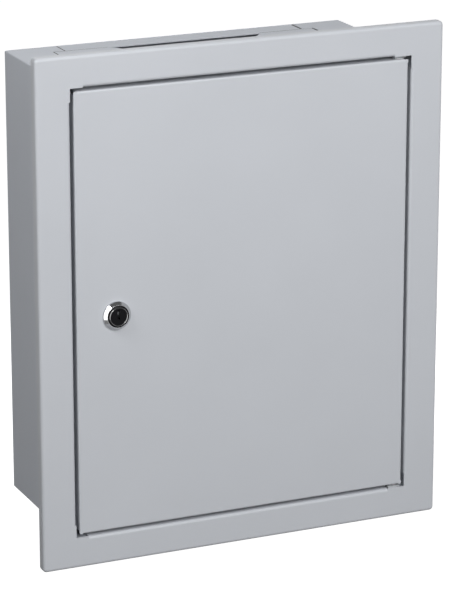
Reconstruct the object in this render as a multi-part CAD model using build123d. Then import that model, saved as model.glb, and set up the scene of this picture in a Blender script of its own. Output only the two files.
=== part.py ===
from build123d import *
import os

# A flush-mount distribution board: a sheet tub set into the wall, a front frame
# with a pivoted door and cam lock, and device rails behind a touch guard.
# Millimetres. X to the right, Y into the wall, Z up.
# The origin is the centre of the tub's back wall, on its outer face.

# Sheet metal
SHEET = 1.25               # tub, frame and entry plates
SHEET_BEND = 2.0           # inside bend radius of tub and frame
FOLD_LEAD = 1.0            # flat kept beside a bend before it meets the face

# Front frame
OPENING_W = 355.0
OPENING_H = 445.0
BORDER_SIDE = 34.5         # face beside the opening
BORDER_END = 31.0          # face above and below the opening
FRAME_RETURN = 10.0        # outer fold, from the front face to the wall plane
FRAME_CORNER = 4.0         # rounding of the welded outer corners
STOP_DEPTH = 26.0          # front face to the back of the stop ledge
STOP_LEDGE = 12.0          # width of the ledge behind the door
RELIEF_GAP = 1.0           # between the ledges of two folds at a corner

# Wall tub
TUB_DEPTH = 160.0          # back face to the wall plane
TUB_RIM = 6.0              # walls reach this far past the wall plane, into the frame
TUB_SEAM = 1.5             # rounding of the welded seams between its walls
SLIDE_FIT = 0.5            # between the frame's inner fold and the tub
WALL_HOLE_SIDE = 20.5      # wall fixing holes from the tub's side walls
WALL_HOLE_END = 25.5       # and from its top and bottom
WALL_HOLE_R = 3.5

# Cable entries in the tub's top and bottom
ENTRY_REAR_W = 256.0       # narrow part of the cut-out, at the rear
ENTRY_FRONT_W = 280.0      # wide part
ENTRY_STEP = 26.0          # back face to the step between the two
ENTRY_KEEP = 2.0           # frame brackets to the front end of the cut-out
ENTRY_GAP = 1.0            # seam along an entry plate
ENTRY_END_GAP = 2.0        # and at its ends
ENTRY_SINK = 0.4           # plate below the wall's outer face
ENTRY_LIP = 9.0            # reach of a lip under the wall
ENTRY_TAB = 12.0           # length of a lip along the wall
CABLE_SLOT_W = 164.0       # at the plate's rear edge
CABLE_SLOT = 14.0
CABLE_SLANT = 12.0         # each end of the slot leans in by this
ENTRY_SCREW_END = 15.0     # plate screws from the front end of the cut-out
ENTRY_SCREW_PITCH = 40.0

# Door
DOOR_SHEET = 1.5
DOOR_BEND = 0.4            # inside bend radius
DOOR_CORNER = 1.5          # rounding of the skin's corners
DOOR_GAP = 3.5             # seam between door and frame
DOOR_RETURN = 18.0
DOOR_LIP = 10.0            # stiffening lip behind the two upright returns
DOOR_RELIEF = 3.0          # returns stop this far from a corner

# Hinge: a pivot tab, a pin and a washer at each end of the door
PIVOT_INSET = 7.5          # pivot axis from the door's edge
PIVOT_DEPTH = 8.0          # and from the front face
PIN_R = 2.0
PIN_FIT = 0.05             # running clearance round the pins
PIN_ENGAGE = 5.0           # pin length inside the door
PIN_HEAD_R = 3.5
PIN_HEAD = 1.3
TAB_SHEET = 2.0
TAB_BEND = 1.0
TAB_W = 12.0
TAB_REACH = 14.0           # front face to the tab's rear end
TAB_CLEAR = 0.3            # tab to the opening's edge
TAB_LEG = 17.5             # leg behind the frame's face, past the opening's edge
TAB_SIDE = 1.0             # tab to the end of the frame's inner fold
WASHER_PLAY = 0.2          # washer to the door
WASHER_R = 5.5

# Cam lock
LOCK_INSET = 40.5          # lock axis from the door's free edge
LOCK_DROP = 2.0            # lock axis below the door's middle
LOCK_COLLAR_R = 14.0
LOCK_RIM = 2.2             # straight rim under the cone
LOCK_FACE_R = 11.3
LOCK_PROUD = 5.0
LOCK_BARREL_R = 10.0
LOCK_FLAT = 9.0            # barrel axis to each flat
LOCK_HOLE_FIT = 0.1
LOCK_SEAT_R = 11.05
LOCK_SEAT = 3.4            # depth of the plug's seat in the cone
PLUG_R = 7.0
PLUG_FIT = 0.05
PLUG_PROUD = 1.1           # plug's face past the cone's edge
PLUG_SLOPE = 0.7           # fall of the shoulder outside the ring
PLUG_RING_R = 8.9          # middle of the ring on the plug's face
PLUG_RING = 0.4            # half width and height of the ring
KEY_SLOT_W = 2.2
KEY_SLOT_TOP = 6.5
KEY_SLOT_LOW = 3.0
KEY_SLOT_DEEP = 14.0
CAM_GAP = 0.7              # cam behind the ledge
CAM_THICK = 3.0
CAM_REACH = 40.0
CAM_W = 18.0
CAM_TIP = 5.0              # rounding at the cam's tip
CAM_SQUARE = 8.0
CAM_FLANGE = 1.0           # flange under the cam screw's head
LOCK_NUT_FLATS = 26.0
LOCK_NUT = 5.0

# Fasteners
THREAD_FIT = 0.05
M4_R = 2.0
M5_R = 2.5
M6_R = 3.0
HEAD_RATIO = 1.8           # head radius over thread radius
HEAD_HEIGHT = 1.1          # head height over thread radius
NUT_FLATS = 3.2            # across flats over thread radius
NUT_HEIGHT = 1.6           # nut height over thread radius
RECESS = 0.35              # recess arm width over thread radius

# Frame fixing
FRAME_SCREW_SPAN = 220.0
FRAME_SCREW_INSET = 7.0    # from the opening's edge
BRACKET_SHEET = 2.0
BRACKET_W = 24.0
BRACKET_LEG = 22.0

# Rubber buffers on the ledge
BUFFER_R = 3.5
BUFFER_INSET = 6.5
BUFFER_GAP = 0.3
BUFFER_SPAN = 300.0

# Device carrier
UPRIGHT_W = 24.0
UPRIGHT_DEEP = 12.0
UPRIGHT_PAST = 1.0         # ends past the guard's edges
UPRIGHT_SHEET = 1.5
CARRIER_DEPTH = 95.0       # front face to the front of the uprights
CARRIER_STUD_TOP = 65.0    # studs from the uprights' upper ends
CARRIER_STUD_LOW = 25.0    # and from their lower ends
STUD_SPARE = 3.0           # thread past the nut
RAIL_PAST = 10.0           # rail ends past the uprights' middles
RAIL_W = 35.0
RAIL_CHANNEL = 27.0
RAIL_DEEP = 7.5
RAIL_SHEET = 1.0
RAIL_BEND = 0.5
RAIL_TOP = 109.0           # guard's upper edge to the top row
RAIL_LOW = 59.0            # guard's lower edge to the bottom row
RAIL_SLOT = 18.0
RAIL_SLOT_W = 6.2
RAIL_SLOT_PITCH = 50.0

# Terminal bars on their strip
STRIP_DROP = 32.0          # below the uprights' upper ends
STRIP_H = 20.0
STRIP_SHEET = 2.0
BAR_LENGTH = 112.0
BAR_SIDE = 8.0
BAR_MIDDLE = 66.0          # bar centre from the board's middle
BAR_FOOT = 12.0
BAR_FOOT_W = 12.0
BAR_FOOT_H = 16.0
BAR_PITCH = 16.0
BAR_WIRE_R = 2.4

# Touch guard
GUARD_DEPTH = 42.0         # front face to the guard
GUARD_SHEET = 1.0
GUARD_BEND = 1.5
GUARD_RETURN = 12.0
GUARD_CLEAR = 1.5          # to the ledge, so that it lifts out
GUARD_SLOT_W = 218.0
GUARD_SLOT_H = 46.0
GUARD_SCREW_SIDE = 24.0    # screws from the guard's side edges
GUARD_SCREW_END = 9.0      # and from its upper and lower edges
STANDOFF_FLATS = 9.0
STANDOFF_TAP = 14.0

# Earth studs
EARTH_STUD = 18.0
TUB_EARTH_SIDE = 60.0      # from the board's middle
TUB_EARTH_RISE = 29.25     # above the tub's floor
DOOR_EARTH_INSET = 34.0    # from the door's edges

# Sizes worked out from those above
SHEET_OUT = SHEET_BEND + SHEET
FRAME_W = OPENING_W + 2 * BORDER_SIDE
FRAME_H = OPENING_H + 2 * BORDER_END
TUB_IN_W = OPENING_W + 2 * (SHEET + SLIDE_FIT)
TUB_IN_H = OPENING_H + 2 * (SHEET + SLIDE_FIT)
TUB_W = TUB_IN_W + 2 * SHEET
TUB_H = TUB_IN_H + 2 * SHEET
DOOR_W = OPENING_W - 2 * DOOR_GAP
DOOR_H = OPENING_H - 2 * DOOR_GAP
FRONT = -(TUB_DEPTH + FRAME_RETURN)
COLLAR_RELIEF = STOP_LEDGE + RELIEF_GAP
HINGE_RELIEF = DOOR_GAP + PIVOT_INSET + TAB_W / 2 + TAB_SIDE
WALL_HOLES_W = TUB_W - 2 * WALL_HOLE_SIDE
WALL_HOLES_H = TUB_H - 2 * WALL_HOLE_END
ENTRY_REACH = -FRONT - STOP_DEPTH - BRACKET_LEG - ENTRY_KEEP
ENTRY_SCREW_Y = (ENTRY_REACH - ENTRY_SCREW_END - ENTRY_SCREW_PITCH, ENTRY_REACH - ENTRY_SCREW_END)
LEDGE_FRONT = STOP_DEPTH - SHEET
PIVOT_X = DOOR_W / 2 - PIVOT_INSET
TAB_Z = OPENING_H / 2 - TAB_CLEAR - TAB_SHEET
WASHER = DOOR_GAP - TAB_CLEAR - TAB_SHEET - WASHER_PLAY
LOCK_X = -DOOR_W / 2 + LOCK_INSET
CAM_FRONT = STOP_DEPTH + CAM_GAP
RAIL_FRONT = CARRIER_DEPTH - RAIL_DEEP
STRIP_FRONT = CARRIER_DEPTH - STRIP_SHEET
BAR_FRONT = STRIP_FRONT - BAR_FOOT - BAR_SIDE
GUARD_W = OPENING_W - 2 * (STOP_LEDGE + GUARD_CLEAR)
GUARD_H = OPENING_H - 2 * (STOP_LEDGE + GUARD_CLEAR)
GUARD_SCREW_Z = GUARD_H / 2 - GUARD_SCREW_END
UPRIGHT_X = GUARD_W / 2 - GUARD_SCREW_SIDE
UPRIGHT_H = GUARD_H + 2 * UPRIGHT_PAST
CARRIER_STUD_Z = (UPRIGHT_H / 2 - CARRIER_STUD_TOP, CARRIER_STUD_LOW - UPRIGHT_H / 2)
STRIP_Z = UPRIGHT_H / 2 - STRIP_DROP
RAIL_LENGTH = 2 * (UPRIGHT_X + RAIL_PAST)
RAIL_Z = {"top": GUARD_H / 2 - RAIL_TOP, "middle": (RAIL_LOW - RAIL_TOP) / 2, "bottom": RAIL_LOW - GUARD_H / 2}
TUB_EARTH = (TUB_EARTH_SIDE, TUB_EARTH_RISE - TUB_IN_H / 2)
DOOR_EARTH = (DOOR_W / 2 - DOOR_EARTH_INSET, DOOR_EARTH_INSET - DOOR_H / 2)


def at_depth(depth):
    """Y of a plane that lies this far behind the frame's front face."""
    return FRONT + depth


def block(x, y, z):
    """Box between two values on each axis."""
    corner = Pos(x[0], y[0], z[0])
    size = (x[1] - x[0], y[1] - y[0], z[1] - z[0])
    return corner * Box(*size, align=(Align.MIN, Align.MIN, Align.MIN))


def rod(radius, start, end):
    """Cylinder on the Z axis from start to end."""
    return Pos(0, 0, start) * Cylinder(radius, end - start, align=(Align.CENTER, Align.CENTER, Align.MIN))


def inward(x, depth, z):
    """Location that turns +Z into +Y, at a depth behind the front face."""
    return Pos(x, at_depth(depth), z) * Rot(-90, 0, 0)


def both_ends(*shapes):
    """Shapes above the middle and their mirror images below."""
    return [*shapes, *(mirror(shape, about=Plane.XY) for shape in shapes)]


def fold(points, bend, thick, low, high, plane=Plane.XY):
    """Folded sheet: the points are the sharp corners of one face, the sheet lies to their left,
    and the section runs from low to high along the plane's normal."""
    near = [Vector(*point) for point in points]
    ways = [(b - a).normalized() for a, b in zip(near, near[1:])]
    sides = [Vector(-way.Y, way.X) * thick for way in ways]
    turns = [sides[i] + sides[i + 1] for i in range(len(sides) - 1)]
    shifts = [sides[0], *turns, sides[-1]]
    far = [point + shift for point, shift in zip(near, shifts)]
    lefts = [ways[i].cross(ways[i + 1]).Z > 0 for i in range(len(turns))]
    near_line = FilletPolyline(*near, radius=[bend + thick if left else bend for left in lefts])
    far_line = FilletPolyline(*far, radius=[bend if left else bend + thick for left in lefts])
    section = make_face([
        near_line,
        Line(near_line @ 1, far_line @ 1),
        far_line,
        Line(far_line @ 0, near_line @ 0),
    ])
    return plane * Pos(0, 0, low) * extrude(section, high - low, dir=(0, 0, 1))


def on_four_sides(make, upright, level):
    """One fold left and right of the middle, and one above and below it."""
    left = make(*upright)
    top = Rot(0, 90, 0) * make(*level)
    return [left, mirror(left, about=Plane.YZ), top, mirror(top, about=Plane.XY)]


def tray(width, height, front, deep, thick, bend, corner):
    """Shallow folded tray, open to the rear, with rounded corners."""
    def body(shrink, start, end, edge, round_corner):
        box = Pos(0, (start + end) / 2, 0) * Box(width - 2 * shrink, end - start, height - 2 * shrink)
        box = fillet(box.edges().filter_by(Axis.Y), round_corner)
        return fillet(box.faces().sort_by(Axis.Y)[0].edges(), edge)
    outer = body(0, at_depth(front), at_depth(front + deep), bend + thick, corner)
    inner = body(thick, at_depth(front + thick), at_depth(front + deep), bend, corner - thick)
    return outer - inner


def screw(radius, length, crossed=True):
    """Pan head screw along +Z with a crossed or slotted head, whose underside is at the origin."""
    head_r = HEAD_RATIO * radius
    head = rod(head_r, -HEAD_HEIGHT * radius, 0)
    head = fillet(head.edges().sort_by(Axis.Z)[0], HEAD_HEIGHT * radius / 2)
    arm = RECESS * radius
    recesses = [(head_r, arm), (arm, head_r)] if crossed else [(2 * head_r, arm)]
    for size in recesses:
        head -= Pos(0, 0, -HEAD_HEIGHT * radius) * Box(*size, HEAD_HEIGHT * radius)
    return head + rod(radius, 0, length)


def nut(radius, flats, height):
    """Hexagon nut from the origin up, round a thread of this radius."""
    body = extrude(RegularPolygon(flats / 2, 6, major_radius=False), height)
    return body - rod(radius + THREAD_FIT, 0, height)


def thread_nut(radius):
    """Hexagon nut in the usual proportions."""
    return nut(radius, NUT_FLATS * radius, NUT_HEIGHT * radius)


# Wall tub
def entry_cut(width, start, end):
    """Cut through the tub's top wall, between two distances from its back face."""
    return block((-width / 2, width / 2), (-end, -start), (TUB_IN_H / 2 - SHEET, TUB_H / 2 + SHEET))


def wall_tub():
    """Back wall and four walls folded from one sheet, with stepped cable cut-outs."""
    reach = TUB_DEPTH + TUB_RIM
    body = Pos(0, -reach / 2, 0) * Box(TUB_W, reach, TUB_H)
    body = fillet(body.faces().sort_by(Axis.Y)[-1].edges(), SHEET_OUT)
    seams = body.edges().filter_by(Axis.Y)
    body = fillet(seams, TUB_SEAM)
    hollow = Pos(0, -(reach + SHEET) / 2, 0) * Box(TUB_IN_W, reach - SHEET, TUB_IN_H)
    body -= fillet(hollow.faces().sort_by(Axis.Y)[-1].edges(), SHEET_BEND)
    cut = entry_cut(ENTRY_REAR_W, SHEET_OUT, ENTRY_STEP) + entry_cut(ENTRY_FRONT_W, ENTRY_STEP, ENTRY_REACH)
    body -= both_ends(cut)
    body -= both_ends(*entry_screw_places(M4_R + THREAD_FIT))
    for x, z in wall_hole_places():
        body -= Pos(x, 0, z) * Rot(90, 0, 0) * rod(WALL_HOLE_R, 0, SHEET)
    return body


def wall_hole_places():
    """Centres of the wall fixing holes."""
    return [(i * WALL_HOLES_W / 2, j * WALL_HOLES_H / 2) for i in (-1, 1) for j in (-1, 1)]


# Cable entry plates, each flush in the cut-out with lips under the wall
def entry_screw_spots():
    """Places of the front plate's screws in the tub's top wall."""
    x = (ENTRY_FRONT_W + ENTRY_LIP) / 2
    return [(i * x, -y) for i in (-1, 1) for y in ENTRY_SCREW_Y]


def entry_screw_places(radius):
    """Screw holes through wall and lips."""
    low = TUB_IN_H / 2 - 2 * SHEET
    return [Pos(x, y, 0) * rod(radius, low, TUB_H / 2) for x, y in entry_screw_spots()]


def entry_plate(width, start, end, lips):
    """Flush sheet in the cut-out of the top wall, with lips under the wall at each end."""
    half = width / 2 - ENTRY_END_GAP
    top = TUB_H / 2 - ENTRY_SINK
    plate = block((-half, half), (-end, -start), (top - SHEET, top))
    along = (-ENTRY_TAB / 2, ENTRY_TAB / 2)
    lip = block((-ENTRY_LIP, ENTRY_LIP), along, (TUB_IN_H / 2 - SHEET, TUB_IN_H / 2))
    for side in (-1, 1):
        plate += [Pos(side * width / 2, -y, 0) * lip for y in lips]
    return plate


def entry_plate_rear():
    """Narrow plate between the back wall's fold and the step."""
    start = SHEET_OUT + ENTRY_GAP
    return entry_plate(ENTRY_REAR_W, start, ENTRY_STEP, [(start + ENTRY_STEP) / 2])


def entry_plate_front():
    """Wide plate with the cable slot cut into its rear edge."""
    start = ENTRY_STEP + ENTRY_GAP
    plate = entry_plate(ENTRY_FRONT_W, start, ENTRY_REACH - ENTRY_GAP, ENTRY_SCREW_Y)
    end = start + CABLE_SLOT
    wide = CABLE_SLOT_W / 2
    narrow = wide - CABLE_SLANT
    slot = Polygon((-wide, -start), (-narrow, -end), (narrow, -end), (wide, -start), align=None)
    plate -= extrude(slot, TUB_H / 2, dir=(0, 0, 1))
    plate -= entry_screw_places(M4_R + THREAD_FIT)
    return plate


def entry_screws():
    """Screws of the two front entry plates, driven from outside."""
    shape = screw(M4_R, 4 * SHEET)
    upper = [Pos(x, y, TUB_H / 2) * Rot(180, 0, 0) * shape for x, y in entry_screw_spots()]
    return both_ends(*upper)


# Front frame
def frame_fold(half_opening, low, high):
    """Inner fold left of the opening: round the edge, back along the door and in to the stop ledge."""
    ledge = at_depth(LEDGE_FRONT)
    points = [
        (-half_opening - SHEET_OUT - FOLD_LEAD, FRONT),
        (-half_opening, FRONT),
        (-half_opening, ledge),
        (-half_opening + STOP_LEDGE, ledge),
    ]
    return fold(points, SHEET_BEND, SHEET, low, high)


def frame_fold_room(half_opening, low, high):
    """Part of the flat face that the inner fold takes the place of."""
    x = (-half_opening - SHEET_OUT - FOLD_LEAD, -half_opening)
    return block(x, (FRONT, FRONT + SHEET), (low, high))


def frame_screw_places():
    """Places of the frame's fixing screws on the ledge."""
    z = OPENING_H / 2 - FRAME_SCREW_INSET
    return [(i * FRAME_SCREW_SPAN / 2, j * z) for i in (-1, 1) for j in (-1, 1)]


def front_frame():
    """Frame face with outer returns and relieved inner folds."""
    body = tray(FRAME_W, FRAME_H, 0, FRAME_RETURN, SHEET, SHEET_BEND, FRAME_CORNER)
    body -= Pos(0, FRONT, 0) * Box(OPENING_W, 2 * FRAME_RETURN, OPENING_H)
    upright = (OPENING_W / 2, COLLAR_RELIEF - OPENING_H / 2, OPENING_H / 2 - COLLAR_RELIEF)
    level = (OPENING_H / 2, COLLAR_RELIEF - OPENING_W / 2, OPENING_W / 2 - HINGE_RELIEF)
    body -= on_four_sides(frame_fold_room, upright, level)
    body += on_four_sides(frame_fold, upright, level)
    for x, z in frame_screw_places():
        body -= inward(x, LEDGE_FRONT, z) * rod(M4_R + THREAD_FIT, 0, SHEET)
    return body


def frame_bracket():
    """Angle on the tub's top wall, behind the ledge, tapped for a frame screw."""
    points = [
        (-TUB_IN_H / 2, at_depth(STOP_DEPTH + BRACKET_LEG)),
        (-TUB_IN_H / 2, at_depth(STOP_DEPTH)),
        (STOP_LEDGE - OPENING_H / 2, at_depth(STOP_DEPTH)),
    ]
    angle = fold(points, TAB_BEND, BRACKET_SHEET, -BRACKET_W / 2, BRACKET_W / 2)
    angle -= inward(FRAME_SCREW_INSET - OPENING_H / 2, STOP_DEPTH, 0) * rod(M4_R + THREAD_FIT, 0, BRACKET_SHEET)
    return Rot(0, 90, 0) * angle


def frame_brackets():
    """The four frame brackets."""
    spots = [Pos(i * FRAME_SCREW_SPAN / 2, 0, 0) * frame_bracket() for i in (-1, 1)]
    return both_ends(*spots)


def frame_screws():
    """The four frame screws."""
    shape = screw(M4_R, SHEET + BRACKET_SHEET + M4_R)
    return [inward(x, LEDGE_FRONT, z) * shape for x, z in frame_screw_places()]


def door_buffers():
    """Rubber buffers on the ledge at the door's free edge."""
    x = BUFFER_INSET - OPENING_W / 2
    length = LEDGE_FRONT - DOOR_RETURN - BUFFER_GAP
    body = rod(BUFFER_R, 0, length)
    body = fillet(body.edges().sort_by(Axis.Z)[0], BUFFER_R / 3)
    return [inward(x, LEDGE_FRONT - length, j * BUFFER_SPAN / 2) * body for j in (-1, 1)]


# Hinge at the top of the door, mirrored for the bottom
def hinge_bracket():
    """Angle behind the frame's face, with the pivot tab that reaches into the seam."""
    points = [
        (at_depth(SHEET), OPENING_H / 2 + TAB_LEG),
        (at_depth(SHEET), TAB_Z),
        (at_depth(TAB_REACH), TAB_Z),
    ]
    angle = fold(points, TAB_BEND, TAB_SHEET, PIVOT_X - TAB_W / 2, PIVOT_X + TAB_W / 2, Plane.YZ)
    return angle - pivot(PIN_R + PIN_FIT, TAB_Z, TAB_Z + TAB_SHEET)


def pivot(radius, low, high):
    """Cylinder on the door's pivot axis."""
    return Pos(PIVOT_X, at_depth(PIVOT_DEPTH), 0) * rod(radius, low, high)


def hinge_pin():
    """Headed pin through the tab, down into the door."""
    top = TAB_Z + TAB_SHEET
    return pivot(PIN_R, DOOR_H / 2 - PIN_ENGAGE, top) + pivot(PIN_HEAD_R, top, top + PIN_HEAD)


def hinge_washer():
    """Washer under the tab."""
    ring = pivot(WASHER_R, TAB_Z - WASHER, TAB_Z)
    return ring - pivot(PIN_R + PIN_FIT, TAB_Z - WASHER, TAB_Z)


# Door
def door_upright(half_door, low, high):
    """Return on the door's free edge, with its stiffening lip."""
    points = [
        (-half_door + DOOR_LIP, at_depth(DOOR_RETURN)),
        (-half_door, at_depth(DOOR_RETURN)),
        (-half_door, FRONT),
        (-half_door + DOOR_BEND + DOOR_SHEET + FOLD_LEAD, FRONT),
    ]
    return fold(points, DOOR_BEND, DOOR_SHEET, low, high)


def door_level(half_door, low, high):
    """Plain return, used above and below."""
    points = [
        (-half_door, at_depth(DOOR_RETURN)),
        (-half_door, FRONT),
        (-half_door + DOOR_BEND + DOOR_SHEET + FOLD_LEAD, FRONT),
    ]
    return fold(points, DOOR_BEND, DOOR_SHEET, low, high)


def door_fold_room(half_door, low, high):
    """Part of the flat skin that a bend takes the place of."""
    x = (-half_door, -half_door + DOOR_BEND + DOOR_SHEET + FOLD_LEAD)
    return block(x, (FRONT, FRONT + DOOR_SHEET), (low, high))


def flatted(radius, flat, start, end):
    """Rod along +Z with two flats, left and right."""
    return rod(radius, start, end) & Pos(0, 0, (start + end) / 2) * Box(2 * flat, 2 * radius, end - start)


def door_panel():
    """Door skin with returns, pivot holes and the lock's flatted hole."""
    upright = (DOOR_W / 2, DOOR_RELIEF - DOOR_H / 2, DOOR_H / 2 - DOOR_RELIEF)
    level = (DOOR_H / 2, DOOR_RELIEF - DOOR_W / 2, DOOR_W / 2 - DOOR_RELIEF)
    skin = block((-DOOR_W / 2, DOOR_W / 2), (FRONT, FRONT + DOOR_SHEET), (-DOOR_H / 2, DOOR_H / 2))
    skin = fillet(skin.edges().filter_by(Axis.Y), DOOR_CORNER)
    skin -= on_four_sides(door_fold_room, upright, level)
    left, right = on_four_sides(door_upright, upright, upright)[:2]
    top, bottom = on_four_sides(door_level, level, level)[2:]
    skin += [left, right, top, bottom]
    hole = pivot(PIN_R + PIN_FIT, DOOR_H / 2 - DOOR_SHEET, DOOR_H / 2)
    skin -= both_ends(hole)
    opening = flatted(LOCK_BARREL_R + LOCK_HOLE_FIT, LOCK_FLAT + LOCK_HOLE_FIT, 0, DOOR_SHEET)
    return skin - inward(LOCK_X, 0, -LOCK_DROP) * opening


# Cam lock, drawn along +Z from the door's face and turned into place
def lock_housing():
    """Chrome cone in front of the door and flatted barrel behind it."""
    seat = LOCK_SEAT - LOCK_PROUD
    bore = PLUG_R + PLUG_FIT
    points = [
        (bore, 0),
        (LOCK_COLLAR_R, 0),
        (LOCK_COLLAR_R, -LOCK_RIM),
        (LOCK_FACE_R, -LOCK_PROUD),
        (LOCK_SEAT_R, -LOCK_PROUD),
        (LOCK_SEAT_R, seat),
        (bore, seat),
    ]
    cone = revolve(Plane.XZ * make_face(Polyline(*points, close=True)), Axis.Z)
    end = CAM_FRONT - BUFFER_GAP
    barrel = flatted(LOCK_BARREL_R, LOCK_FLAT, 0, end) - rod(bore, 0, end)
    return cone + barrel


def lock_nut():
    """Hexagon nut behind the door skin."""
    body = extrude(RegularPolygon(LOCK_NUT_FLATS / 2, 6, major_radius=False), LOCK_NUT)
    return Pos(0, 0, DOOR_SHEET) * (body - rod(LOCK_BARREL_R + THREAD_FIT, 0, LOCK_NUT))


def lock_plug():
    """Black plug: ringed face, keyhole, shaft and the square that drives the cam."""
    face = -LOCK_PROUD - PLUG_PROUD
    back = LOCK_SEAT - LOCK_PROUD - PLUG_FIT
    rim = LOCK_SEAT_R - PLUG_FIT
    points = [
        (0, face),
        (PLUG_RING_R - PLUG_RING, face),
        (PLUG_RING_R - PLUG_RING / 2, face - PLUG_RING),
        (PLUG_RING_R + PLUG_RING / 2, face - PLUG_RING),
        (PLUG_RING_R + PLUG_RING, face),
        (rim, face + PLUG_SLOPE),
        (rim, back),
        (PLUG_R, back),
        (PLUG_R, CAM_FRONT),
        (0, CAM_FRONT),
    ]
    body = revolve(Plane.XZ * make_face(Polyline(*points, close=True)), Axis.Z)
    body += Pos(0, 0, CAM_FRONT + CAM_THICK / 2) * Box(CAM_SQUARE, CAM_SQUARE, CAM_THICK)
    key_half = KEY_SLOT_W / 2
    body -= block((-key_half, key_half), (-KEY_SLOT_TOP, KEY_SLOT_LOW), (face, KEY_SLOT_DEEP))
    return body - rod(M5_R + THREAD_FIT, KEY_SLOT_DEEP + M5_R, CAM_FRONT + CAM_THICK)


def lock_cam():
    """Flat cam that hangs down when open and turns behind the ledge to lock."""
    arm = Pos(0, CAM_REACH / 2) * Rectangle(CAM_W, CAM_REACH)
    arm = fillet(arm.vertices().group_by(Axis.Y)[-1], CAM_TIP)
    outline = arm + Circle(CAM_W / 2)
    hole = CAM_SQUARE + 2 * PLUG_FIT
    outline -= Rectangle(hole, hole)
    return Pos(0, 0, CAM_FRONT) * extrude(outline, CAM_THICK)


def cam_screw():
    """Flanged hexagon screw that holds the cam on the plug."""
    start = CAM_FRONT + CAM_THICK
    head = extrude(RegularPolygon(NUT_FLATS * M5_R / 2, 6, major_radius=False), NUT_HEIGHT * M5_R)
    flange = rod(CAM_SQUARE, start, start + CAM_FLANGE)
    shank = rod(M5_R, start - CAM_SQUARE, start)
    return Pos(0, 0, start) * head + flange + shank


def in_door(shape):
    """A lock piece turned into the door."""
    return inward(LOCK_X, 0, -LOCK_DROP) * shape


# Device carrier
def carrier_upright(side):
    """Channel that carries the rails, open to the rear."""
    half = UPRIGHT_W / 2 - UPRIGHT_SHEET
    front = at_depth(CARRIER_DEPTH + UPRIGHT_SHEET)
    rear = at_depth(CARRIER_DEPTH + UPRIGHT_DEEP)
    points = [(half, rear), (half, front), (-half, front), (-half, rear)]
    body = fold(points, UPRIGHT_SHEET, UPRIGHT_SHEET, -UPRIGHT_H / 2, UPRIGHT_H / 2)
    drills = [(M6_R, z) for z in CARRIER_STUD_Z] + [(M5_R, z) for z in RAIL_Z.values()]
    drills += [(M5_R, z) for z in (STRIP_Z, GUARD_SCREW_Z, -GUARD_SCREW_Z)]
    for radius, z in drills:
        body -= inward(0, CARRIER_DEPTH, z) * rod(radius + THREAD_FIT, 0, UPRIGHT_SHEET)
    return Pos(side * UPRIGHT_X, 0, 0) * body


def carrier_places():
    """Places of the studs that carry the uprights."""
    return [(i * UPRIGHT_X, z) for i in (-1, 1) for z in CARRIER_STUD_Z]


def carrier_studs():
    """Studs welded to the back wall."""
    start = CARRIER_DEPTH - NUT_HEIGHT * M6_R - STUD_SPARE
    end = TUB_DEPTH + FRAME_RETURN - SHEET
    return [inward(x, start, z) * rod(M6_R, 0, end - start) for x, z in carrier_places()]


def carrier_nuts():
    """A nut on each side of the upright's web, and one behind each standoff."""
    rear = CARRIER_DEPTH + UPRIGHT_SHEET
    shapes = []
    for x, z in carrier_places():
        shapes.append(inward(x, CARRIER_DEPTH - NUT_HEIGHT * M6_R, z) * thread_nut(M6_R))
        shapes.append(inward(x, rear, z) * thread_nut(M6_R))
    for x, z in guard_places():
        shapes.append(inward(x, rear, z) * thread_nut(M5_R))
    return shapes


def device_rail(z):
    """Top-hat rail with slotted web."""
    rear = at_depth(CARRIER_DEPTH)
    lip = at_depth(RAIL_FRONT + RAIL_SHEET)
    points = [
        (lip, -RAIL_W / 2),
        (lip, -RAIL_CHANNEL / 2),
        (rear, -RAIL_CHANNEL / 2),
        (rear, RAIL_CHANNEL / 2),
        (lip, RAIL_CHANNEL / 2),
        (lip, RAIL_W / 2),
    ]
    body = fold(points, RAIL_BEND, RAIL_SHEET, -RAIL_LENGTH / 2, RAIL_LENGTH / 2, Plane.YZ)
    count = int((2 * UPRIGHT_X - UPRIGHT_W - RAIL_SLOT) / RAIL_SLOT_PITCH) + 1
    web = inward(0, CARRIER_DEPTH - RAIL_SHEET, 0)
    slot = extrude(SlotOverall(RAIL_SLOT, RAIL_SLOT_W), RAIL_SHEET)
    for i in range(count):
        body -= web * Pos((i - (count - 1) / 2) * RAIL_SLOT_PITCH, 0, 0) * slot
    for side in (-1, 1):
        body -= web * Pos(side * UPRIGHT_X, 0, 0) * rod(M5_R + THREAD_FIT, 0, RAIL_SHEET)
    return Pos(0, 0, z) * body


def rail_screws():
    """Screws that hold the rails on the uprights."""
    shape = screw(M5_R, RAIL_SHEET + UPRIGHT_SHEET + M5_R, crossed=False)
    depth = CARRIER_DEPTH - RAIL_SHEET
    return [inward(i * UPRIGHT_X, depth, z) * shape for i in (-1, 1) for z in RAIL_Z.values()]


# Terminal bars
def terminal_strip():
    """Flat strip across the uprights."""
    half = RAIL_LENGTH / 2
    y = (at_depth(STRIP_FRONT), at_depth(CARRIER_DEPTH))
    body = block((-half, half), y, (STRIP_Z - STRIP_H / 2, STRIP_Z + STRIP_H / 2))
    for side in (-1, 1):
        body -= inward(side * UPRIGHT_X, STRIP_FRONT, STRIP_Z) * rod(M5_R + THREAD_FIT, 0, STRIP_SHEET)
    return body


def strip_screws():
    """Screws of the terminal strip."""
    shape = screw(M5_R, STRIP_SHEET + UPRIGHT_SHEET + M5_R, crossed=False)
    return [inward(i * UPRIGHT_X, STRIP_FRONT, STRIP_Z) * shape for i in (-1, 1)]


def bar_steps():
    """Screw places along a bar, from its middle."""
    count = int((BAR_LENGTH - 2 * BAR_FOOT_W) / BAR_PITCH) + 1
    return [(i - (count - 1) / 2) * BAR_PITCH for i in range(count)]


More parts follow.
